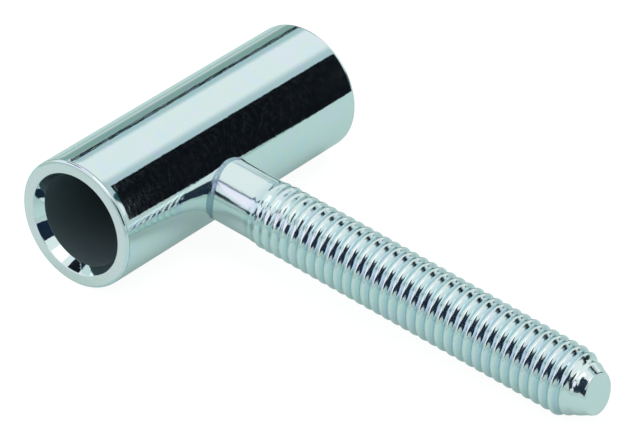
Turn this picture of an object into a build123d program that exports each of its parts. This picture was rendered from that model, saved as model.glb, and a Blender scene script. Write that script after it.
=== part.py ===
from build123d import *
from math import asin, atan, atan2, ceil, cos, degrees, hypot, radians, sin, tan
import os

# Top half of a screw-in hinge: a blind steel sleeve with a threaded stud welded to its side.
#
# It lies as it comes to rest, on the sleeve's side and the last crest of the thread. The sleeve
# runs along Y with its open end towards -Y, the stud points along +X and dips to the floor, and
# +Z is up. The origin is where the two axes cross. Sizes are in millimetres, angles in degrees.

# Sleeve
sleeve_diameter = 15.0
mouth_reach = 17.1  # from the stud's axis to the open end
crown_reach = 21.6  # from the stud's axis to the closed end
pin_bore_diameter = 10.8
crown_wall = 3.5  # left beyond the drill's point
drill_point_angle = 118.0
countersink_diameter = 11.9
countersink_depth = 1.25
rim_break = 0.2

# Stud, its lengths measured from the sleeve's side
stud_length = 50.0
neck_length = 4.9  # plain shank before the first trace of thread
runout_length = 1.8  # over which the thread grows to its full form
point_length = 3.3
point_diameter = 4.5
point_slant = 14.0  # the sheared end's lean from square
weld_leg = 0.5

# Thread, a coarse M8 as rolled
thread_diameter = 7.75
roll_rise = 0.275  # how far rolling lifts the crest above the plain neck
thread_pitch = 1.25
thread_angle = 60.0
crest_share = 1 / 8  # of the pitch, flat at the crest
root_share = 1 / 4  # of the pitch, flat at the root
upper_crest_reach = 53.53  # from the sleeve's axis to a crest on the stud's upper side
turns_a_cut = 4  # the groove is cut in lengths of this many turns
cut_clearance = 0.05  # how far a cut reaches past the crest
runout_step = 0.02  # how much shallower than the full groove the run-out ends inside it
runout_overlap = 1 / 8  # of a turn, by which the two grooves overlap

sleeve_radius = sleeve_diameter / 2
bore_radius = pin_bore_diameter / 2
crest_radius = thread_diameter / 2
neck_radius = crest_radius - roll_rise
point_radius = point_diameter / 2

# Places along the stud, from the sleeve's axis
neck_end = sleeve_radius + neck_length
thread_start = neck_end + runout_length
stud_reach = sleeve_radius + stud_length
point_start = stud_reach - point_length
point_slope = (crest_radius - point_radius) / point_length
point_end = stud_reach + crest_radius * tan(radians(point_slant))  # clear of the sheared end

# The stud dips until the end of its thread meets the floor that the sleeve lies on
rest_dip = degrees(
    asin(sleeve_radius / hypot(point_start, crest_radius)) - atan2(crest_radius, point_start)
)
stud_direction = Vector(cos(radians(rest_dip)), 0, -sin(radians(rest_dip)))
stud_axis = Axis((0, 0, 0), stud_direction)
stud_section = Plane((0, 0, 0), x_dir=stud_direction, z_dir=(0, 1, 0))  # along the stud, and down

# Thread form
flank_tan = tan(radians(thread_angle / 2))
thread_depth = thread_pitch * (1 - crest_share - root_share) / (2 * flank_tan)
root_radius = crest_radius - thread_depth


def thread_groove(reach, turns, foot_radius, taper=0.0):
    """A length of the thread's groove, whose foot starts on the stud's upper side at this reach.

    The foot's radius falls by the taper, in degrees, as the groove runs towards the point.
    """
    centre = stud_direction * reach
    height = thread_depth + cut_clearance
    half_foot = thread_pitch * root_share / 2
    half_top = half_foot + height * flank_tan
    with BuildPart() as groove:
        with BuildLine() as path:
            Helix(
                pitch=thread_pitch / cos(radians(taper)),  # measured along the cone's side
                height=turns * thread_pitch,
                radius=foot_radius,
                center=centre,
                direction=stud_direction,
                cone_angle=-taper,
            )
        start = path.line @ 0
        outward = (start - centre).normalized()
        with BuildSketch(Plane(start, x_dir=outward, z_dir=outward.cross(stud_direction))):
            with BuildLine():
                Polyline(
                    (0, -half_foot),
                    (height, -half_top),
                    (height, half_top),
                    (0, half_foot),
                    close=True,
                )
            make_face()
        sweep(path=path.line, is_frenet=True)
    return groove.part


# The full groove begins half a pitch before a crest and runs on past the sheared end
turns_before_crest = ceil((upper_crest_reach - thread_start) / thread_pitch) - 0.5
groove_start = upper_crest_reach - turns_before_crest * thread_pitch
cut_length = turns_a_cut * thread_pitch
cut_count = ceil((point_end - groove_start) / cut_length)
blank_end = groove_start + cut_count * cut_length + thread_pitch
grooves = [
    thread_groove(groove_start + index * cut_length, turns_a_cut, root_radius)
    for index in range(cut_count)
]
# Towards the neck it grows shallower until it leaves the metal
runout_slope = (neck_radius - root_radius) / runout_length
runout_turns = ceil(runout_length / thread_pitch)
runout_cut = (runout_turns + runout_overlap) * thread_pitch
grooves.append(
    thread_groove(
        groove_start - runout_turns * thread_pitch,
        runout_turns + runout_overlap,
        root_radius + runout_step + runout_slope * runout_cut,
        taper=degrees(atan(runout_slope)),
    )
)

with BuildPart() as hinge_sleeve:
    drill_point_end = crown_reach - crown_wall
    bore_end = drill_point_end - bore_radius / tan(radians(drill_point_angle / 2))
    with BuildSketch(Plane.YZ):
        with BuildLine():
            Polyline(
                (-mouth_reach, countersink_diameter / 2),
                (-mouth_reach, sleeve_radius),
                (crown_reach, sleeve_radius),
                (crown_reach, 0),
                (drill_point_end, 0),
                (bore_end, bore_radius),
                (countersink_depth - mouth_reach, bore_radius),
                close=True,
            )
        make_face()
    revolve(axis=Axis.Y)
    outer_edges = hinge_sleeve.edges().filter_by(GeomType.CIRCLE).group_by(SortBy.RADIUS)[-1]
    chamfer(outer_edges, rim_break)

with BuildPart() as threaded_stud:
    # Neck, welded all round to the sleeve's side
    with BuildSketch(Plane.XZ.offset(mouth_reach)):
        Circle(sleeve_radius)
    sleeve_blank = extrude(amount=-(mouth_reach + crown_reach))
    with BuildSketch(Plane((0, 0, 0), x_dir=(0, 1, 0), z_dir=stud_direction)):
        Circle(neck_radius)
    extrude(amount=neck_end)
    weld_line = threaded_stud.edges(Select.NEW).filter_by(GeomType.BSPLINE)
    chamfer(weld_line, weld_leg)
    # Thread, cut into a plain bar
    with BuildSketch(stud_section):
        with BuildLine():
            Polyline(
                (0, 0),
                (0, neck_radius),
                (neck_end, neck_radius),
                (thread_start, crest_radius),
                (blank_end, crest_radius),
                (blank_end, 0),
                close=True,
            )
        make_face()
    revolve(axis=stud_axis)
    for groove in grooves:
        add(groove, mode=Mode.SUBTRACT)
    # Blunt point
    with BuildSketch(stud_section):
        with BuildLine():
            Polyline(
                (point_start, crest_radius),
                (point_end, crest_radius - point_slope * (point_end - point_start)),
                (point_end, crest_radius + cut_clearance),
                (point_start, crest_radius + cut_clearance),
                close=True,
            )
        make_face()
    revolve(axis=stud_axis, mode=Mode.SUBTRACT)
    # Sheared end, its upper side the shorter
    end_dip = radians(rest_dip - point_slant)
    end_direction = Vector(cos(end_dip), 0, -sin(end_dip))
    split(bisect_by=Plane(stud_direction * stud_reach, z_dir=end_direction), keep=Keep.BOTTOM)
    add(sleeve_blank, mode=Mode.SUBTRACT)

hinge_sleeve.part.label = "hinge_sleeve"
threaded_stud.part.label = "threaded_stud"

os.makedirs("parts", exist_ok=True)
export_step(hinge_sleeve.part, "parts/hinge_sleeve.step")
export_step(threaded_stud.part, "parts/threaded_stud.step")
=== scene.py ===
"""The looks of a screw-in hinge's top half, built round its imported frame.

A blind steel sleeve lies on its side with a threaded stud welded to it. Both are bright zinc plated.
Sizes in the classes are in millimetres and angles in degrees. The meshes are in metres, in the
frame's own place.
"""

import logging
import math
from dataclasses import dataclass
from enum import Enum

import bmesh
import bpy
import numpy as np
from bpy.types import Material, Node, NodeSocket, NodeTree, Object
from mathutils import Matrix, Vector


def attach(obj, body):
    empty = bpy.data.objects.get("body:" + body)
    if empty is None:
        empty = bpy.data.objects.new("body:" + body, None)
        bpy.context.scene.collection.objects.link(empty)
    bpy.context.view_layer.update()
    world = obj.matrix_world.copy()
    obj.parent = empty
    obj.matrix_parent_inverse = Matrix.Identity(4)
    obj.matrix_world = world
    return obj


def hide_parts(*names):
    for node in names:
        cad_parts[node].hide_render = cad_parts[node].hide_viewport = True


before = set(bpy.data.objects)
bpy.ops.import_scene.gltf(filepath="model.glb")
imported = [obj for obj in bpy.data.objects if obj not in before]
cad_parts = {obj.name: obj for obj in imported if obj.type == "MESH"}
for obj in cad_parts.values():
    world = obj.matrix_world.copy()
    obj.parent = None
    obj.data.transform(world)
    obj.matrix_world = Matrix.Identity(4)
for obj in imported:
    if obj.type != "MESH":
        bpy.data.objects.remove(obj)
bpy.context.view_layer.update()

logging.basicConfig(level=logging.INFO, format="%(message)s")
log = logging.getLogger("hinge")

MM = 0.001
TURN = 2 * math.pi
WHITE = (1.0, 1.0, 1.0, 1.0)
Triple = tuple[float, float, float]


class Slot(Enum):
    """The record's material slots."""

    SLEEVE = "plated_sleeve"
    STUD = "plated_stud"


def linear(colour: str) -> tuple[float, float, float, float]:
    """Turns an sRGB hex colour into linear light.

    Each channel c becomes ((c + 0.055) / 1.055) to the power 2.4, or c / 12.92 where it is dark.

    Args:
        colour: Six hex digits after a hash sign.

    Returns:
        Red, green, blue and an alpha of 1.
    """
    channels = [int(colour[i : i + 2], 16) / 255 for i in (1, 3, 5)]
    red, green, blue = (c / 12.92 if c <= 0.04045 else ((c + 0.055) / 1.055) ** 2.4 for c in channels)
    return red, green, blue, 1.0


def add_node(tree: NodeTree, kind: str, values: dict | None = None, **settings: object) -> Node:
    """Adds a node, sets its options, and gives its sockets their values or links.

    Args:
        tree: The node tree that the node joins.
        kind: Blender's name of the node's type, after the words ShaderNode.
        values: Each socket, and the value, output or node's first output that goes into it.
        settings: The node's own options.

    Returns:
        The new node.
    """
    node = tree.nodes.new("ShaderNode" + kind)
    for option, setting in settings.items():
        setattr(node, option, setting)
    for socket, value in (values or {}).items():
        if isinstance(value, Node):
            value = value.outputs[0]
        if isinstance(value, NodeSocket):
            tree.links.new(value, node.inputs[socket])
        else:
            node.inputs[socket].default_value = value
    return node


def new_material(name: str) -> Material:
    """Makes a material whose node tree is still empty.

    Args:
        name: The finish's name.

    Returns:
        The material.
    """
    material = bpy.data.materials.new(name)
    material.use_nodes = True
    material.node_tree.nodes.clear()
    return material


def drawn_noise(
    tree: NodeTree,
    sizes: Triple,
    detail: float = 1.0,
    roughness: float = 0.5,
    turned: Triple = (0.0, 0.0, 0.0),
) -> Node:
    """Lays noise over a piece, drawn out to a size of its own along each of the frame's axes.

    The place on the piece is divided by the three sizes, and the noise is read there.

    Args:
        tree: The material's nodes.
        sizes: Rough width of one wave of the noise along X, Y and Z.
        detail: How many finer layers the noise has.
        roughness: How strong the finer layers are.
        turned: How the drawn pattern is turned, in radians.

    Returns:
        The noise, from 0 to 1.
    """
    place = add_node(tree, "TexCoord").outputs["Object"]
    scale = tuple(1 / (size * MM) for size in sizes)
    drawn = add_node(tree, "Mapping", {"Vector": place, "Rotation": turned, "Scale": scale})
    noise = {"Vector": drawn, "Scale": 1.0, "Detail": detail, "Roughness": roughness}
    return add_node(tree, "TexNoise", noise)


def ease(values: np.ndarray, start: float, end: float) -> np.ndarray:
    """Rises from 0 at start to 1 at end along the cubic 3 t squared less 2 t cubed.

    Args:
        values: Where the curve is read.
        start: Where it leaves 0.
        end: Where it reaches 1.

    Returns:
        The curve's height at each value.
    """
    t = np.clip((values - start) / (end - start), 0.0, 1.0)
    return t * t * (3 - 2 * t)


def ripple(angle: np.ndarray, reach: np.ndarray, *waves: tuple[float, float]) -> np.ndarray:
    """Adds up the sines of each wave's first number times the angle plus its second times the reach.

    Args:
        angle: Angle round a piece, in radians.
        reach: Reach along it.
        waves: Waves in a turn, and radians in a millimetre.

    Returns:
        The sum, at most the number of waves.
    """
    return sum(np.sin(around * angle + along * reach) for around, along in waves)


def parabola(start: np.ndarray, corner: np.ndarray, end: np.ndarray, t: np.ndarray) -> np.ndarray:
    """Rounds a corner: (1 - t) squared start, 2 t (1 - t) corner and t squared end, added up.

    Args:
        start: Where the curve leaves one side.
        corner: The sharp corner.
        end: Where it meets the other side.
        t: Places along the curve, from 0 to 1.

    Returns:
        The curve at each place.
    """
    return (1 - t) ** 2 * start + 2 * t * (1 - t) * corner + t**2 * end


def rounded_line(corners: list[Triple], steps: int, margin: float, gap: float) -> np.ndarray:
    """Carries a line past its corners on arcs, with close points beside each arc.

    Args:
        corners: Each corner's two coordinates and how far from it the arc begins, 0 for a sharp one.
        steps: Spans in an arc.
        margin: Distance of the extra points that keep the shading of the straights flat.
        gap: The longest span on a straight.

    Returns:
        The line's points, one row each.
    """
    places = np.array([corner[:2] for corner in corners])
    pieces = [places[:1]]
    for index in range(1, len(corners)):
        run = places[index] - places[index - 1]
        length = float(np.linalg.norm(run))
        unit = run / length
        cut_in, cut_out = corners[index - 1][2], corners[index][2]
        low = cut_in + (margin if cut_in else 0.0)
        high = length - cut_out - (margin if cut_out else 0.0)
        spans = max(1, math.ceil((high - low) / gap))
        straight = places[index - 1] + unit * np.linspace(low, high, spans + 1)[:, None]
        pieces.append(straight if cut_in else straight[1:])
        if cut_out and index + 1 < len(corners):
            onward = places[index + 1] - places[index]
            start = places[index] - unit * cut_out
            end = places[index] + onward / np.linalg.norm(onward) * cut_out
            pieces.append(parabola(start, places[index], end, np.linspace(0, 1, steps + 1)[:, None]))
    return np.concatenate(pieces)


def mesh_object(name: str, points: np.ndarray, faces: list[list[int]]) -> Object:
    """Puts a mesh into the scene.

    Args:
        name: The object's name.
        points: Points in millimetres, one row each.
        faces: The numbers of each face's points.

    Returns:
        The object.
    """
    mesh = bpy.data.meshes.new(name)
    mesh.from_pydata((points * MM).tolist(), [], faces)
    item = bpy.data.objects.new(name, mesh)
    bpy.context.scene.collection.objects.link(item)
    return item


def grid_object(name: str, grid: np.ndarray) -> Object:
    """Makes an open sheet, with a face between each four neighbours of a grid.

    Args:
        name: The object's name.
        grid: Points in millimetres, in rows and columns.

    Returns:
        The object.
    """
    rows, columns, _ = grid.shape
    first = (np.arange(rows - 1)[:, None] * columns + np.arange(columns - 1)).ravel()
    quads = first[:, None] + (0, 1, columns + 1, columns)
    return mesh_object(name, grid.reshape(-1, 3), quads.tolist())


def closed_object(name: str, rings: np.ndarray, first: np.ndarray, last: np.ndarray) -> Object:
    """Makes a closed skin from rings of points, with a point at each end.

    Ring i's point j joins its neighbours round the ring and the same point of ring i + 1.

    Args:
        name: The piece's name.
        rings: Points in millimetres, one row a ring.
        first: The point that closes the first ring.
        last: The point that closes the last ring.

    Returns:
        The smooth-shaded object, with its faces turned outwards.
    """
    count, around, _ = rings.shape
    points = np.concatenate([rings.reshape(-1, 3), first[None], last[None]])
    here = np.arange(around)
    after = np.roll(here, -1)
    row = np.arange(count - 1)[:, None] * around
    quads = np.stack([row + here, row + after, row + around + after, row + around + here], axis=-1)
    final = (count - 1) * around
    near = np.stack([np.full(around, count * around), after, here], axis=-1)
    far = np.stack([np.full(around, count * around + 1), final + here, final + after], axis=-1)
    faces = quads.reshape(-1, 4).tolist() + near.tolist() + far.tolist()
    piece = mesh_object(name, points, faces)
    mesh = piece.data
    skin = bmesh.new()
    skin.from_mesh(mesh)
    bmesh.ops.recalc_face_normals(skin, faces=skin.faces)
    skin.to_mesh(mesh)
    skin.free()
    mesh.polygons.foreach_set("use_smooth", np.ones(len(mesh.polygons), dtype=bool))
    mesh.update()
    return piece


@dataclass(frozen=True)
class ZincPlate:
    """Bright zinc plating with a clear blue passivation, over turned, faced or rolled steel.

    It is a mirror with a cold cast, whose reflections waver along the grain. The real tool lines are
    finer than a pixel, and are drawn as coarse as they need to show.
    """

    name: str
    tints: tuple[str, str, str]  # blue, mint and lilac casts of the passivation
    cast_size: float  # width of a patch of one tint
    roughness: tuple[float, float]
    grain: Triple  # width of a wave of the waver along each axis
    grain_depth: float
    line_spacing: float  # of the fine lines
    line_depth: float
    turned: Triple = (0.0, 0.0, 0.0)  # how the waver and the lines are turned, in radians
    line_stretch: float = 60.0  # a fine line's length over its spacing
    line_levels: tuple[float, float] = (0.3, 0.7)  # of the noise, for the least and most roughness
    cast_levels: tuple[float, float] = (0.38, 0.62)  # of the noise, for the first and last tint
    valley_shade_tint: str | None = None  # painted shade in the thread's valleys, mixed in by the piece's sunk attribute
    # painted highlight on the thread's crests, and nearly as pale off the thread
    crest_highlight_tint: str | None = None
    painted_depth_share: float = 0.6  # how far that painted shade and highlight hide the patches
    speck_size: float = 0.05  # specks of dust
    speck_spacing: float = 2.6
    speck_core: float = 0.4  # share of a speck's radius that is at full strength
    speck_cover: float = 0.55
    bloom_size: float = 0.6  # faint grey flecks where the plating is less bright
    bloom_levels: tuple[float, float] = (0.48, 0.75)
    bloom_cover: float = 0.02
    grey: str = "#AEB7BC"  # dust and dull plate
    grey_roughness: float = 0.8

    def cast(self, tree: NodeTree) -> NodeSocket:
        """Tints the plating in soft patches and, on a thread, paints shade into its valleys and a
        highlight onto its crests by depth.

        Args:
            tree: The material's nodes.

        Returns:
            The plating's colour.
        """
        patches = drawn_noise(tree, (self.cast_size,) * 3, detail=2.0, roughness=0.6)
        ramp = add_node(tree, "ValToRGB", {"Fac": patches})
        first, last = ramp.color_ramp.elements
        first.position, last.position = self.cast_levels
        first.color, last.color = linear(self.tints[0]), linear(self.tints[2])
        ramp.color_ramp.elements.new(sum(self.cast_levels) / 2).color = linear(self.tints[1])
        if not (self.valley_shade_tint and self.crest_highlight_tint):
            return ramp.outputs["Color"]
        # Painted shade in the thread's valleys and painted highlight on its crests, mixed by depth.
        sunk = add_node(tree, "Attribute", attribute_name="sunk").outputs["Fac"]
        by_depth = {0: sunk, 6: linear(self.crest_highlight_tint), 7: linear(self.valley_shade_tint)}
        painted_depth_light = add_node(tree, "Mix", by_depth, data_type="RGBA").outputs[2]
        shares = {0: self.painted_depth_share, 6: ramp.outputs["Color"], 7: painted_depth_light}
        return add_node(tree, "Mix", shares, data_type="RGBA").outputs[2]

    def dulling(self, tree: NodeTree) -> Node:
        """Scatters specks and flecks: a speck is a small ball round each of some scattered points.

        Args:
            tree: The material's nodes.

        Returns:
            How far grey hides the plating.
        """
        flecks = drawn_noise(tree, (self.bloom_size,) * 3, detail=3.0, roughness=0.7)
        low, high = self.bloom_levels
        bloom = {"Value": flecks, "From Min": low, "From Max": high, "To Max": self.bloom_cover}
        dulled = add_node(tree, "MapRange", bloom)
        place = add_node(tree, "TexCoord").outputs["Object"]
        scatter = {"Vector": place, "Scale": 1 / (self.speck_spacing * MM)}
        distance = add_node(tree, "TexVoronoi", scatter)
        radius = self.speck_size / self.speck_spacing
        ball = {"From Min": radius, "From Max": radius * self.speck_core, "To Max": self.speck_cover}
        speck = add_node(tree, "MapRange", {"Value": distance, **ball})
        return add_node(tree, "Math", {0: speck, 1: dulled}, operation="MAXIMUM")

    def make(self) -> Material:
        """Builds the plating, with its waver and fine lines as relief, under the specks.

        Returns:
            The material.
        """
        material = new_material(self.name)
        tree = material.node_tree
        waver = drawn_noise(tree, self.grain, detail=2.0, roughness=0.45, turned=self.turned)
        line_sizes = (self.line_spacing * self.line_stretch, self.line_spacing, self.line_spacing)
        lines = drawn_noise(tree, line_sizes, turned=self.turned)
        waves = {"Height": waver, "Distance": self.grain_depth * MM, "Strength": 1.0}
        swell = add_node(tree, "Bump", waves)
        cuts = {"Height": lines, "Distance": self.line_depth * MM, "Strength": 1.0, "Normal": swell}
        scored = add_node(tree, "Bump", cuts)
        levels = {"Value": lines, "From Min": self.line_levels[0], "From Max": self.line_levels[1]}
        gloss = {"To Min": self.roughness[0], "To Max": self.roughness[1]}
        rough = add_node(tree, "MapRange", {**levels, **gloss})
        metal = {"Base Color": self.cast(tree), "Metallic": 1.0, "Roughness": rough, "Normal": scored}
        plate = add_node(tree, "BsdfPrincipled", metal)
        dust = {"Base Color": linear(self.grey), "Roughness": self.grey_roughness}
        grit = add_node(tree, "BsdfPrincipled", dust)
        surface = add_node(tree, "MixShader", {0: self.dulling(tree), 1: plate, 2: grit})
        add_node(tree, "OutputMaterial", {"Surface": surface})
        return material


@dataclass(frozen=True)
class DrilledSteel:
    """Bare steel in a deep drilled hole, where little plating is thrown.

    It is dull and dark, with the drill's rings faint in it.
    """

    name: str
    colour: str = "#59676B"
    metallic: float = 0.35  # low for steel, which keeps the bore dull and dark
    roughness: float = 0.5
    ring_spacing: float = 0.25
    ring_length: float = 12.0  # over which a ring changes
    ring_depth: float = 0.01

    def make(self) -> Material:
        """Builds the steel, with noise drawn out across the bore's axis for its rings.

        Returns:
            The material.
        """
        material = new_material(self.name)
        tree = material.node_tree
        rings = drawn_noise(tree, (self.ring_length, self.ring_spacing, self.ring_length))
        height = {"Height": rings, "Distance": self.ring_depth * MM, "Strength": 1.0}
        ridge = add_node(tree, "Bump", height)
        dull = {"Metallic": self.metallic, "Roughness": self.roughness, "Normal": ridge}
        steel = add_node(tree, "BsdfPrincipled", {"Base Color": linear(self.colour), **dull})
        add_node(tree, "OutputMaterial", {"Surface": steel})
        return material


@dataclass
class Sleeve:
    """The turned sleeve, closed at the far end, with its bore open towards -Y."""

    radius: float = 7.5
    mouth: float = 17.1  # from the stud's axis to the open end
    crown: float = 21.6  # from the stud's axis to the closed end
    bore_radius: float = 5.4
    sink_radius: float = 6.05
    sink_depth: float = 1.25
    crown_wall: float = 3.5  # left beyond the drill's point
    drill_angle: float = 118.0
    rim: float = 0.38  # how far the outer edges are rounded
    roll_off: float = 0.7  # length over which tumbling has drawn the mouth in
    roll_depth: float = 0.04
    roll_round: float = 0.35
    sink_round: float = 0.1
    bore_round: float = 0.06
    around: int = 192
    finish: ZincPlate = ZincPlate(
        name="Zinc_plated_turned_steel",
        tints=("#E0EFF3", "#E4F0EC", "#E6EDF4"),
        cast_size=3.5,
        roughness=(0.03, 0.06),
        grain=(1.0, 0.7, 0.7),
        grain_depth=0.0045,
        line_spacing=0.2,
        line_depth=0.0012,
        turned=(0.0, 0.0, math.radians(90)),
    )
    bore_finish: DrilledSteel = DrilledSteel("Drilled_bare_steel")
    face_finish: ZincPlate = ZincPlate(
        name="Zinc_plated_faced_steel",
        tints=("#F3F8F6", "#F2F7F1", "#F4F6F6"),
        cast_size=3.0,
        roughness=(0.4, 0.46),
        grain=(1.0, 1.0, 1.0),
        grain_depth=0.004,
        line_spacing=0.2,
        line_depth=0.001,
    )

    def line(self) -> np.ndarray:
        """The sleeve's half section, from the crown's centre round the mouth to the drill's point.

        Returns:
            Reach along Y and radius, one row a point.
        """
        drill_end = self.crown - self.crown_wall
        bore_end = drill_end - self.bore_radius / math.tan(math.radians(self.drill_angle / 2))
        corners = [
            (self.crown, 0.0, 0.0),
            (self.crown, self.radius, self.rim),
            (self.roll_off - self.mouth, self.radius, self.roll_round),
            (-self.mouth, self.radius - self.roll_depth, self.rim),
            (-self.mouth, self.sink_radius, self.sink_round),
            (self.sink_depth - self.mouth, self.bore_radius, self.bore_round),
            (bore_end, self.bore_radius, self.sink_round),
            (drill_end, 0.0, 0.0),
        ]
        return rounded_line(corners, steps=8, margin=0.03, gap=0.8)

    def build(self) -> Object:
        """Turns the section about Y: each point goes round a circle of its own radius.

        Returns:
            The sleeve's object.
        """
        line = self.line()[1:-1]
        angle = np.linspace(0, TURN, self.around, endpoint=False)
        reach = np.repeat(line[:, :1], self.around, axis=1)
        rings = np.stack([line[:, 1:] * np.cos(angle), reach, line[:, 1:] * np.sin(angle)], axis=-1)
        first = np.array([0.0, self.crown, 0.0])
        last = np.array([0.0, self.crown - self.crown_wall, 0.0])
        piece = closed_object("sleeve_shell", rings, first, last)
        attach(piece, "root")
        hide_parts("hinge_sleeve")
        return piece

    def dress(self, piece: Object) -> None:
        """Plates the outside and the countersink, duller on the mouth's face, and leaves the bore bare.

        Args:
            piece: The sleeve's object.
        """
        for finish in (self.finish, self.bore_finish, self.face_finish):
            piece.data.materials.append(finish.make())
        centres = np.empty(len(piece.data.polygons) * 3)
        piece.data.polygons.foreach_get("center", centres)
        across, reach, up = centres.reshape(-1, 3).T / MM
        slack = 0.02  # for faces that lie a little off their surface
        inside = np.hypot(across, up) < self.bore_radius + slack
        deep = reach > self.sink_depth - self.mouth - 2 * slack
        bore = inside & deep & (reach < self.crown - self.crown_wall / 2)
        faced = reach < slack / 2 - self.mouth
        piece.data.polygons.foreach_set("material_index", np.where(faced, 2, bore).astype(np.int32))


@dataclass
class Stud:
    """The threaded stud with the weld at its foot, its rolled thread and its sheared point.

    A point of it is given by its reach along the stud, its angle from the stud's upper side, and its
    radius. A right-hand thread's crest moves on by one pitch for each turn of that angle.
    """

    sleeve_radius: float = 7.5
    length: float = 50.0  # beyond the sleeve's side
    crest_radius: float = 3.875
    roll_rise: float = 0.275  # how far rolling lifts the crest above the plain neck
    neck_length: float = 4.9
    runout_length: float = 1.8
    point_length: float = 3.3
    point_radius: float = 2.25
    point_slant: float = 14.0  # the sheared end's lean from square
    weld_height: float = 0.06
    weld_length: float = 0.5
    weld_sag: float = 0.25  # how hollow the weld's face is, as a share of its height
    weld_ripple: tuple[float, float] = (0.12, 0.1)  # its long and short waves, as such shares
    foot_sink: float = 0.05  # how far the foot reaches into the sleeve's wall
    pitch: float = 1.25
    depth: float = 0.37  # less than the cut thread's, as the rolled crests and roots are round
    upper_crest: float = 53.53  # reach of a crest on the upper side
    groove_lead: float = 0.2  # how far before the run-out the groove begins
    groove_fade: tuple[float, float] = (0.3, 2.2)  # along the cone, where the groove dies away
    groove_left: float = 0.1  # share of it left beyond
    seam_depth: float = 0.007  # the fold that rolling leaves along a crest
    seam_width: float = 0.1
    seam_wander: tuple[float, float] = (0.009, 0.03)  # along the thread, and more on the first turns
    seam_rough: Triple = (0.8, 6.0, 2.0)  # how much wider, deeper and less even it is there
    rough_length: float = 12.0  # over which the first turns are shallow, folded and torn
    rough_loss: float = 0.4  # share of the depth that the first turn lacks
    tear_depth: float = 0.011
    score_depths: tuple[float, float] = (0.011, 0.009)  # of the coarse and fine marks on the cone
    score_start: tuple[float, float] = (0.4, 1.6)  # along the cone, where they set in
    rim_back: float = 0.14  # how far the rim is rounded along the cone
    rim_in: float = 0.2  # and across the end
    drag_depth: float = 0.025  # of the sheared end's waves
    drag_waves: Triple = (2.1, 0.6, 1.4)  # radians in a millimetre of height, their start, and of width
    around: int = 84  # points in a ring
    pitch_rings: int = 24  # rings in a pitch
    hidden_rings: int = 6
    weld_rings: int = 13
    neck_rings: int = 16
    cone_rings: int = 84
    rim_rings: int = 7
    end_face_rings: int = 16
    finish: ZincPlate = ZincPlate(
        name="Zinc_plated_rolled_steel",
        tints=("#E6F2F4", "#E8F3EF", "#EAEDF8"),
        cast_size=2.4,
        roughness=(0.09, 0.16),
        grain=(1.6, 0.45, 0.45),
        grain_depth=0.0085,
        line_spacing=0.14,
        line_depth=0.0014,
        turned=(0.0, math.radians(-3.844), 0.0),
        speck_spacing=4.0,
        # painted shade in the thread's valleys and painted highlight on its crests
        valley_shade_tint="#A6CED8",
        crest_highlight_tint="#EEF5F1",
    )
    weld_finish: ZincPlate = ZincPlate(
        name="Zinc_plated_weld_ring",
        tints=("#9DB6C4", "#A9BFC6", "#93A7BA"),
        cast_size=1.2,
        roughness=(0.2, 0.34),
        grain=(0.6, 0.4, 0.4),
        grain_depth=0.02,
        line_spacing=0.2,
        line_depth=0.002,
    )

    @property
    def reach(self) -> float:
        """Reach of the point from the sleeve's axis."""
        return self.sleeve_radius + self.length

    @property
    def neck_end(self) -> float:
        """Reach of the thread's first trace."""
        return self.sleeve_radius + self.neck_length

    @property
    def neck_radius(self) -> float:
        """Radius of the plain neck."""
        return self.crest_radius - self.roll_rise

    @property
    def cone_start(self) -> float:
        """Reach of the cone's large end."""
        return self.reach - self.point_length

    @property
    def cone_slope(self) -> float:
        """How fast the cone's radius falls."""
        return (self.crest_radius - self.point_radius) / self.point_length

    @property
    def lean(self) -> float:
        """Tangent of the sheared end's slant."""
        return math.tan(math.radians(self.point_slant))

    @property
    def along(self) -> np.ndarray:
        """The stud's direction, dipping until its last crest meets the floor that the sleeve lies on.

        With s the cone's start and r the crest's radius, the dip is the angle whose sine is the
        sleeve's radius over the root of s squared plus r squared, less the angle whose tangent is r / s.

        Returns:
            A direction of length 1.
        """
        dip = math.asin(self.sleeve_radius / math.hypot(self.cone_start, self.crest_radius))
        dip -= math.atan2(self.crest_radius, self.cone_start)
        return np.array([math.cos(dip), 0.0, -math.sin(dip)])

    def place(self, reach: np.ndarray, angle: np.ndarray, radius: np.ndarray) -> np.ndarray:
        """Turns reach, angle and radius into points.

        It is reach times the stud's direction plus radius times outward, which is the angle's cosine
        times up less its sine times the frame's Y.

        Args:
            reach: Reach along the stud.
            angle: Angle from the upper side, right-handed about the stud.
            radius: Distance from the stud's axis.

        Returns:
            Points in millimetres, on a new last axis.
        """
        along = self.along
        up = np.array([-along[2], 0.0, along[0]])
        side = np.array([0.0, -1.0, 0.0])
        outward = np.cos(angle)[..., None] * up + np.sin(angle)[..., None] * side
        return reach[..., None] * along + radius[..., None] * outward

    def wall_reach(self, radius: np.ndarray, angle: np.ndarray) -> np.ndarray:
        """Where a tube about the stud's axis meets the sleeve's side.

        It is the root of the sleeve's radius squared less the square of radius times cosine.

        Args:
            radius: The tube's radius.
            angle: Angle from the upper side.

        Returns:
            The reach at each place.
        """
        return np.sqrt(self.sleeve_radius**2 - (radius * np.cos(angle)) ** 2)

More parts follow.
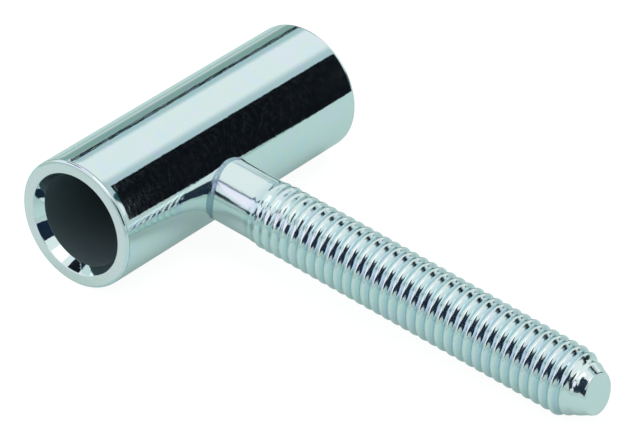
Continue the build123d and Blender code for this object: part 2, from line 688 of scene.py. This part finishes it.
    def groove(self, reach: np.ndarray, angle: np.ndarray) -> np.ndarray:
        """How far the rolled surface lies below its crests' cylinder or cone.

        The thread is a cosine wave from crest to root, one wave a pitch. On the crest is a narrow
        bell-shaped dip, the fold that rolling leaves. On the first turns the wave is shallower, the
        fold wider, deeper and less even, and the surface torn in small waves.

        Args:
            reach: Reach along the stud.
            angle: Angle from the upper side.

        Returns:
            The depth at each place.
        """
        phase = (reach - self.upper_crest) / self.pitch - angle / TURN
        off_crest = self.pitch * (phase - np.round(phase))
        rough = 1 - ease(reach, self.neck_end, self.neck_end + self.rough_length)
        sunk = self.depth * (1 - self.rough_loss * rough) * (0.5 - 0.5 * np.cos(TURN * phase))
        stray = ripple(angle, reach, (7, 5.1), (13, -3.7), (29, 1.3))
        wider, deeper, uneven = self.seam_rough
        off_fold = off_crest - stray * (self.seam_wander[0] + self.seam_wander[1] * rough)
        bell = np.exp(-((off_fold / (self.seam_width * (1 + wider * rough))) ** 2))
        seam = self.seam_depth * (1 + rough * (deeper + uneven * stray)) * bell
        torn = self.tear_depth * rough * (ripple(angle, reach, (31, 4), (19, -7)) + 2)
        return sunk + seam + torn

    def thread_radius(self, reach: np.ndarray, angle: np.ndarray) -> np.ndarray:
        """The radius of the neck, the thread and the cone.

        Over the run-out the crest and the root both part from the neck. At the point a cone cuts the
        crests off, the groove dies away on it, and shallow waves score it, one set of them broken up
        by another that runs across it.

        Args:
            reach: Reach along the stud.
            angle: Angle from the upper side.

        Returns:
            The radius at each place.
        """
        grown = ease(reach, self.neck_end - self.groove_lead, self.neck_end + self.runout_length)
        crest = self.neck_radius + self.roll_rise * grown
        on_cone = reach - self.cone_start
        cone = self.crest_radius - self.cone_slope * on_cone
        kept = 1 - (1 - self.groove_left) * ease(on_cone, *self.groove_fade)
        coarse, fine = self.score_depths
        scored = coarse * ripple(angle, reach, (43, 4)) * ripple(angle, reach, (11, -6))
        scored += fine * ripple(angle, reach, (67, -2))
        outside = np.minimum(crest, cone) - np.abs(scored) * ease(on_cone, *self.score_start)
        return outside - self.groove(reach, angle) * grown * kept

    def foot_rings(self, angle: np.ndarray) -> np.ndarray:
        """The skin inside the sleeve's wall, and the weld from the sleeve to the neck.

        The weld's face is the straight line between its two feet, sunk by a half wave of the sine. Its
        lower foot ripples round the neck in waves of 9 and 17 to a turn.

        Args:
            angle: The angles of a ring's points.

        Returns:
            The rings' points.
        """
        under = np.linspace(0.3, self.neck_radius + self.weld_height, self.hidden_rings)[:, None]
        hidden = self.place(self.wall_reach(under, angle) - self.foot_sink, angle, under)
        long_wave, short_wave = self.weld_ripple
        height = 1 + long_wave * np.sin(9 * angle + 0.7) + short_wave * np.sin(17 * angle)
        toe_radius = self.neck_radius + self.weld_height * height
        toe = self.wall_reach(toe_radius, angle)
        heel = self.wall_reach(self.neck_radius, angle) + self.weld_length
        t = np.linspace(0, 1, self.weld_rings)[:, None]
        sag = -self.weld_sag * self.weld_height * np.sin(math.pi * t)
        radius = toe_radius + (self.neck_radius - toe_radius) * t + sag
        weld = self.place(toe + (heel - toe) * t, angle, radius)
        return np.concatenate([hidden, weld])

    def shank_rings(self, angle: np.ndarray) -> np.ndarray:
        """The neck, the thread and the cone, up to the point's rounded rim.

        Rings are square to the stud on the thread. On the neck they start close together at the weld,
        and on the cone they lean until the last one lies along the sheared end.

        Args:
            angle: The angles of a ring's points.

        Returns:
            The rings' points.
        """
        past_weld, before_thread, before_cone = 0.04, 0.25, 0.5
        neck_start = self.wall_reach(self.neck_radius, angle) + self.weld_length + past_weld
        square_start = self.neck_end - before_thread
        square_end = self.cone_start - before_cone
        t = np.linspace(0, 1, self.neck_rings)[:, None]
        neck = neck_start + (square_start - neck_start) * t**1.5
        spans = math.ceil((square_end - square_start) / self.pitch * self.pitch_rings)
        thread = np.linspace(square_start, square_end, spans + 1)[1:, None] * np.ones_like(angle)
        rim_reach = self.rim(angle)[1] - self.rim_back
        cone = square_end + (rim_reach - square_end) * np.linspace(0, 1, self.cone_rings)[1:, None]
        reach = np.concatenate([neck, thread, cone])
        return self.place(reach, angle, self.thread_radius(reach, angle))

    def rim(self, angle: np.ndarray) -> tuple[np.ndarray, np.ndarray]:
        """Where the cone meets the sheared end.

        With k the cone's slope times the tangent of the slant, the rim's radius is the point's radius
        over 1 less k times the angle's cosine, and the reach falls by the tangent times the height.

        Args:
            angle: The angles of a ring's points.

        Returns:
            The rim's radius and reach.
        """
        radius = self.point_radius / (1 - self.cone_slope * self.lean * np.cos(angle))
        return radius, self.reach - self.lean * radius * np.cos(angle)

    def end_rings(self, angle: np.ndarray) -> np.ndarray:
        """The rounded rim and the sheared face.

        The face is the slanted plane, dragged in dips of one sine of its height times another of its
        width, which die away at the rim.

        Args:
            angle: The angles of a ring's points.

        Returns:
            The rings' points.
        """
        radius, reach = self.rim(angle)
        inner = radius - self.rim_in
        inner_reach = self.reach - self.lean * inner * np.cos(angle)
        back = reach - self.rim_back
        t = np.linspace(0, 1, self.rim_rings)[1:, None]
        rim_radius = parabola(self.thread_radius(back, angle), radius, inner, t)
        rim_reach = parabola(back, reach, inner_reach, t)
        share = np.linspace(1, 0.04, self.end_face_rings)[1:, None]
        face_radius = inner * share
        height, width = face_radius * np.cos(angle), face_radius * np.sin(angle)
        tall, start, wide = self.drag_waves
        drag = self.drag_depth * np.sin(height * tall + start) * np.sin(width * wide) * (1 - share**4)
        face_reach = self.reach - self.lean * height - np.abs(drag)
        radii = np.concatenate([rim_radius, face_radius])
        return self.place(np.concatenate([rim_reach, face_reach]), angle, radii)

    def build(self) -> Object:
        """Joins the foot, the shank and the end into one closed skin.

        Returns:
            The stud's object.
        """
        angle = np.linspace(0, TURN, self.around, endpoint=False)
        rings = np.concatenate([self.foot_rings(angle), self.shank_rings(angle), self.end_rings(angle)])
        first = self.along * (self.sleeve_radius - self.foot_sink)
        piece = closed_object("stud_thread", rings, first, self.along * self.reach)
        self.mark_depth(piece)
        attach(piece, "root")
        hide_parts("threaded_stud")
        return piece

    def mark_depth(self, piece: Object) -> None:
        """Marks how deep each point lies in the thread, from 0 at the crest to 1 at the root, for the
        plating's painted shade and highlight.

        A point's distance from the stud's axis is the length of its cross product with the direction.

        Args:
            piece: The stud's object.
        """
        places = np.empty(len(piece.data.vertices) * 3)
        piece.data.vertices.foreach_get("co", places)
        places = places.reshape(-1, 3) / MM
        radius = np.linalg.norm(np.cross(places, self.along), axis=1)
        reach = places @ self.along
        threaded = ease(reach, self.neck_end - 0.5, self.neck_end + 0.8)
        threaded *= 1 - ease(reach, self.cone_start, self.cone_start + 1)
        plain = 0.1  # the mark off the thread, which gives it nearly the crests' painted highlight
        sunk = np.clip((self.crest_radius - radius) / self.depth, 0.0, 1.0)
        mark = piece.data.attributes.new("sunk", "FLOAT", "POINT")
        mark.data.foreach_set("value", (sunk * threaded + plain * (1 - threaded)).astype(np.float32))

    def dress(self, piece: Object) -> None:
        """Plates the whole stud, duller and bluer on the weld.

        Args:
            piece: The stud's object.
        """
        for finish in (self.finish, self.weld_finish):
            piece.data.materials.append(finish.make())
        foot_faces = (len(self.foot_rings(np.zeros(1))) - 1) * self.around
        index = (np.arange(len(piece.data.polygons)) < foot_faces).astype(np.int32)
        piece.data.polygons.foreach_set("material_index", index)


@dataclass(frozen=True)
class MattCard:
    """Matt painted card, which the metal shows at its own colour, plain or worn along its length."""

    name: str
    colour: str
    scuff: str | None = None  # colour where the paint is worn
    scuff_sizes: Triple = (1000.0, 1.1, 3.2)
    scuff_levels: tuple[float, float] = (0.54, 0.62)  # of the noise, where a scuff starts and is full

    def make(self) -> Material:
        """Builds the card's even glow, mixed with the scuffs' colour by drawn-out noise.

        Returns:
            The material.
        """
        material = new_material(self.name)
        tree = material.node_tree
        colour = linear(self.colour)
        if self.scuff:
            marks = drawn_noise(tree, self.scuff_sizes, detail=2.0)
            low, high = self.scuff_levels
            worn = add_node(tree, "MapRange", {"Value": marks, "From Min": low, "From Max": high})
            shades = {0: worn, 6: colour, 7: linear(self.scuff)}
            colour = add_node(tree, "Mix", shades, data_type="RGBA").outputs[2]
        glow = add_node(tree, "Emission", {"Color": colour, "Strength": 1.0})
        add_node(tree, "OutputMaterial", {"Surface": glow})
        return material


@dataclass(frozen=True)
class PaperSheet:
    """Matt white paper under the object: near white to the camera, a cold grey in the metal.

    Most of its white is its own glow, so the shadow on it is faint. The metal sees it only near the
    object, half lit by the lamps and half even, and sees the sky's own floor card beyond.
    """

    name: str = "White_paper_sheet"
    middle: tuple[float, float] = (0.0, 26.0)
    half: tuple[float, float] = (80.0, 66.0)  # how far from the middle the metal sees it
    edge: float = 1.0
    glow: float = 0.93
    shaded: str = "#5A5A5A"  # the rest of its white, which a shadow takes away
    lit: str = "#B9CCC9"
    even: str = "#AFC4C1"

    def make(self) -> Material:
        """Builds the paper's three looks, for the camera, for the metal and for everything else.

        Returns:
            The material.
        """
        material = new_material(self.name)
        tree = material.node_tree
        place = add_node(tree, "TexCoord").outputs["Object"]
        parts = add_node(tree, "SeparateXYZ", {0: place})
        outside = []
        for axis, (middle, half) in enumerate(zip(self.middle, self.half)):
            off = add_node(tree, "Math", {0: parts.outputs[axis], 1: middle * MM}, operation="SUBTRACT")
            away = add_node(tree, "Math", {0: off}, operation="ABSOLUTE")
            border = {"From Min": (half - self.edge) * MM, "From Max": (half + self.edge) * MM}
            outside.append(add_node(tree, "MapRange", {"Value": away, **border}))
        beyond = add_node(tree, "Math", dict(enumerate(outside)), operation="MAXIMUM")
        white = add_node(tree, "Emission", {"Color": WHITE, "Strength": self.glow})
        shaded = add_node(tree, "BsdfDiffuse", {"Color": linear(self.shaded)})
        to_camera = add_node(tree, "AddShader", {0: shaded, 1: white})
        lit = add_node(tree, "BsdfDiffuse", {"Color": linear(self.lit)})
        even = add_node(tree, "Emission", {"Color": linear(self.even), "Strength": 1.0})
        pale = add_node(tree, "MixShader", {0: 0.5, 1: lit, 2: even})
        clear = add_node(tree, "BsdfTransparent")
        to_metal = add_node(tree, "MixShader", {0: beyond, 1: pale, 2: clear})
        seen = add_node(tree, "LightPath")
        unseen = add_node(tree, "MixShader", {0: seen.outputs["Is Glossy Ray"], 1: lit, 2: to_metal})
        looks = {0: seen.outputs["Is Camera Ray"], 1: unseen, 2: to_camera}
        surface = add_node(tree, "MixShader", looks)
        add_node(tree, "OutputMaterial", {"Surface": surface})
        return material


@dataclass(frozen=True)
class Card:
    """A panel in the sky that only reflections show, given by its place there in degrees.

    Azimuth 0 is the frame's -Y and 90 its +X.
    """

    azimuth: float
    elevation: float
    width: float
    height: float
    colour: str
    soft: float  # width of its blurred edge
    strength: float = 1.0

    def mask(self, tree: NodeTree, azimuth: Node, elevation: Node) -> Node:
        """Covers the directions whose two angles lie within half the card's size of its middle.

        Args:
            tree: The world's nodes.
            azimuth: The node that gives the direction's azimuth.
            elevation: The node that gives its elevation.

        Returns:
            1 on the card, 0 off it and a smooth step between.
        """
        turned = add_node(tree, "Math", {0: azimuth, 1: self.azimuth}, operation="SUBTRACT")
        across = add_node(tree, "Math", {0: turned, 1: 180.0, 2: -180.0}, operation="WRAP")
        above = add_node(tree, "Math", {0: elevation, 1: self.elevation}, operation="SUBTRACT")
        inside = []
        for offset, size in ((across, self.width), (above, self.height)):
            away = add_node(tree, "Math", {0: offset}, operation="ABSOLUTE")
            edge = {"Value": away, "From Min": (size + self.soft) / 2, "From Max": (size - self.soft) / 2}
            inside.append(add_node(tree, "MapRange", edge, interpolation_type="SMOOTHSTEP"))
        return add_node(tree, "Math", dict(enumerate(inside)), operation="MULTIPLY")


@dataclass(frozen=True)
class Board:
    """A flat board near the object that only reflections show, given by its corners in order."""

    name: str
    corners: tuple[Triple, Triple, Triple, Triple]
    finish: MattCard

    def grid(self) -> np.ndarray:
        """The four corners as two rows, the second taken backwards."""
        first, second, third, fourth = self.corners
        return np.array([[first, second], [fourth, third]], dtype=float)


@dataclass(frozen=True)
class Screen:
    """A dark folding screen on an arc round the stud, which darkens the thread's right flanks."""

    name: str = "screen_right"
    middle: tuple[float, float] = (40.0, 0.0)
    radius: float = 100.0
    span: tuple[float, float] = (-7.0, 80.0)  # from -Y towards +X
    folds: int = 30
    foot: tuple[tuple[float, float], ...] = ((-7, 25), (9, 24), (18, 5), (35, 5), (48, 11), (80, 11))
    top: tuple[tuple[float, float], ...] = (
        *((-7, 53), (9, 53), (16, 100), (24, 100), (32, 60)),
        *((40, 60), (52, 110), (80, 175)),
    )
    finish: MattCard = MattCard("Card_screen_right", "#16263A")

    def grid(self) -> np.ndarray:
        """Places the folds at even angles on the arc, between straight lines for the foot and the top.

        Returns:
            The foot's points in one row and the top's in another.
        """
        turn = np.linspace(*self.span, self.folds)
        east = self.middle[0] + self.radius * np.sin(np.radians(turn))
        north = self.middle[1] - self.radius * np.cos(np.radians(turn))
        heights = (np.interp(turn, *np.array(line).T) for line in (self.foot, self.top))
        return np.stack([np.stack([east, north, height], axis=-1) for height in heights])


@dataclass(frozen=True)
class BentBoard:
    """A black board bent round the sleeve's axis, beyond the stud, which gives the sleeve its band.

    Angles are about the frame's Y, from +X upwards, at the board's near and far ends.
    """

    name: str = "board_back"
    radius: float = 200.0
    near: float = 139.0
    far: float = 210.0
    low: tuple[float, float] = (6.2, -12.3)
    high: tuple[float, float] = (68.6, 64.8)
    rows: int = 25
    columns: int = 5
    finish: MattCard = MattCard("Card_board_back", "#0E1116")

    def grid(self) -> np.ndarray:
        """Points on a circle about Y, whose first and last angles change evenly along Y.

        Returns:
            Points in millimetres, in rows and columns.
        """
        across = np.linspace(0, 1, self.rows)[:, None]
        along = np.linspace(0, 1, self.columns)[None]
        low = self.low[0] + (self.low[1] - self.low[0]) * along
        high = self.high[0] + (self.high[1] - self.high[0]) * along
        angle = np.radians(low + (high - low) * across)
        reach = self.near + (self.far - self.near) * along + 0 * angle
        return np.stack([self.radius * np.cos(angle), reach, self.radius * np.sin(angle)], axis=-1)


@dataclass(frozen=True)
class Lamp:
    """A square lamp that shines at the frame's origin and isn't seen in the metal."""

    name: str
    place: Triple
    size: float
    power: float


@dataclass
class Studio:
    """The camera, the pale floor, the lamps, and the cards and boards that the bright metal shows."""

    camera_place: Triple = (280.726, -339.528, 282.127)
    sight: Triple = (-0.509161, 0.662735, -0.549125)
    right: Triple = (0.775277, 0.630239, 0.041777)
    lens: float = 269.087
    floor_level: float = -7.52  # a hair below the sleeve, so that the two don't share a plane
    floor_size: float = 3000.0
    paper: PaperSheet = PaperSheet()
    lamps: tuple[Lamp, ...] = (
        Lamp("lamp_top", (60, 40, 620), 520, 2.2),
        Lamp("lamp_front", (-200, -520, 420), 380, 1.2),
    )
    sky: str = "#EEF6F7"
    cards: tuple[Card, ...] = (
        Card(0, 1, 360, 26, "#C4D4D3", 8),  # pale walls all round
        Card(45, 71, 120, 22, "#FFFFFF", 3, 1.35),  # high up, for the bright spot in the countersink
        Card(152, 42, 34, 34, "#B8CED3", 15),  # the soft edge above the sleeve's black band
        Card(150, 6, 20, 18, "#1B353B", 3),  # behind, seen by way of the sleeve's side
        Card(139, 34, 10, 14, "#2C4F5A", 3),  # beside the black board, for the upper flanks
        Card(-131, -2, 44, 8, "#C9D6D6", 6),  # behind on the left, level with the object
        Card(-29, 27, 70, 35, "#EFECFB", 2, 1.12),  # the lilac front lamp
        Card(-36, 46, 60, 5, "#4F6E84", 3),  # its upper edge
        Card(-137, 27, 46, 10, "#B0CCD0", 7),  # above that
        Card(-137, 11, 46, 15, "#8AAAA3", 6),  # between the two
        Card(0, -46, 360, 86, "#A9C6C0", 2),  # the floor, far off
        Card(-149, -9, 22, 30, "#2E4A4B", 3),  # low behind on the left
    )
    boards: tuple[Board | BentBoard | Screen, ...] = (
        BentBoard(),
        Screen(),
        Board(  # pale paper on the floor before the mouth
            "sheet_front",
            ((-25, -45, -7.3), (8, -45, -7.3), (8, -20, -7.3), (-25, -20, -7.3)),
            MattCard("Card_sheet_front", "#C9D9DB"),
        ),
        Board(  # over the mouth, for the dark spot in the countersink
            "card_top",
            ((-13, -27, 34), (-36, -24, 34), (-36, -12, 34), (-13, -17, 34)),
            MattCard("Card_card_top", "#12161E"),
        ),
        Board(  # beyond the sleeve on the left, for the worn dark line along its top
            "bar_left",
            ((-54, 28, 30), (-54, 90, 30), (-54, 90, 41.5), (-54, 28, 41)),
            MattCard("Card_bar_left", "#16242A", "#A4BBC0"),
        ),
    )

    def shoot(self) -> None:
        """Sets the camera up from its sight line and the direction of the picture's right side."""
        camera = bpy.data.objects.new("Camera", bpy.data.cameras.new("Camera"))
        camera.data.sensor_width = 36.0
        camera.data.lens = self.lens
        camera.data.clip_start = 0.01
        camera.data.clip_end = 20.0
        back = -Vector(self.sight)
        right = Vector(self.right)
        turn = Matrix((right, back.cross(right), back)).transposed().to_4x4()
        camera.matrix_world = Matrix.Translation(Vector(self.camera_place) * MM) @ turn
        bpy.context.scene.collection.objects.link(camera)
        bpy.context.scene.camera = camera

    def light(self) -> None:
        """Hangs the lamps, each turned so that it looks along the line to the origin."""
        for lamp in self.lamps:
            data = bpy.data.lights.new(lamp.name, "AREA")
            data.size = lamp.size * MM
            data.energy = lamp.power
            hung = bpy.data.objects.new(lamp.name, data)
            hung.location = Vector(lamp.place) * MM
            hung.rotation_euler = (-Vector(lamp.place)).to_track_quat("-Z", "Y").to_euler()
            hung.visible_glossy = False
            bpy.context.scene.collection.objects.link(hung)

    def surround(self) -> None:
        """Builds the world: white to the camera, and the sky with its cards to everything else.

        The direction's elevation is the arc sine of its height, and its azimuth the angle of its two
        level parts. Each card is laid over those before it.
        """
        world = bpy.data.worlds.new("Studio")
        bpy.context.scene.world = world
        world.use_nodes = True
        tree = world.node_tree
        tree.nodes.clear()
        toward = add_node(tree, "TexCoord").outputs["Generated"]
        east, north, height = add_node(tree, "SeparateXYZ", {0: toward}).outputs
        raised = add_node(tree, "Math", {0: height}, operation="ARCSINE")
        elevation = add_node(tree, "Math", {0: raised}, operation="DEGREES")
        south = add_node(tree, "Math", {0: north, 1: -1.0}, operation="MULTIPLY")
        heading = add_node(tree, "Math", {0: east, 1: south}, operation="ARCTAN2")
        azimuth = add_node(tree, "Math", {0: heading}, operation="DEGREES")
        sky = add_node(tree, "RGB").outputs["Color"]
        sky.default_value = linear(self.sky)
        shade = sky
        for card in self.cards:
            glow = tuple(channel * card.strength for channel in linear(card.colour)[:3]) + (1.0,)
            layers = {0: card.mask(tree, azimuth, elevation), 6: shade, 7: glow}
            shade = add_node(tree, "Mix", layers, data_type="RGBA").outputs[2]
        studio = add_node(tree, "Background", {"Color": shade, "Strength": 1.0})
        white = add_node(tree, "Background", {"Color": WHITE, "Strength": 1.0})
        by_camera = add_node(tree, "LightPath").outputs["Is Camera Ray"]
        both = add_node(tree, "MixShader", {0: by_camera, 1: studio, 2: white})
        add_node(tree, "OutputWorld", {"Surface": both})

    def stand_boards(self) -> None:
        """Stands up the near boards, which cast no shadow and send out only their own faint light."""
        for board in self.boards:
            panel = grid_object(board.name, board.grid())
            panel.visible_camera = panel.visible_shadow = panel.visible_diffuse = False
            panel.data.materials.append(board.finish.make())

    def lay_floor(self) -> None:
        """Lays the pale floor, one square face, which keeps the object's soft shadow."""
        half, level = self.floor_size / 2, self.floor_level
        front = [(-half, -half, level), (half, -half, level)]
        back = [(-half, half, level), (half, half, level)]
        floor = grid_object("floor", np.array([front, back]))
        floor.data.materials.append(self.paper.make())


def main() -> None:
    """Sets up the studio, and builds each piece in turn."""
    bpy.context.scene.view_settings.view_transform = "Standard"
    studio = Studio()
    studio.shoot()
    studio.light()
    studio.surround()
    studio.stand_boards()
    studio.lay_floor()
    for part in (Sleeve(), Stud()):
        piece = part.build()
        part.dress(piece)
        log.info("built %s with %d faces", piece.name, len(piece.data.polygons))


if __name__ == "__main__":
    main()
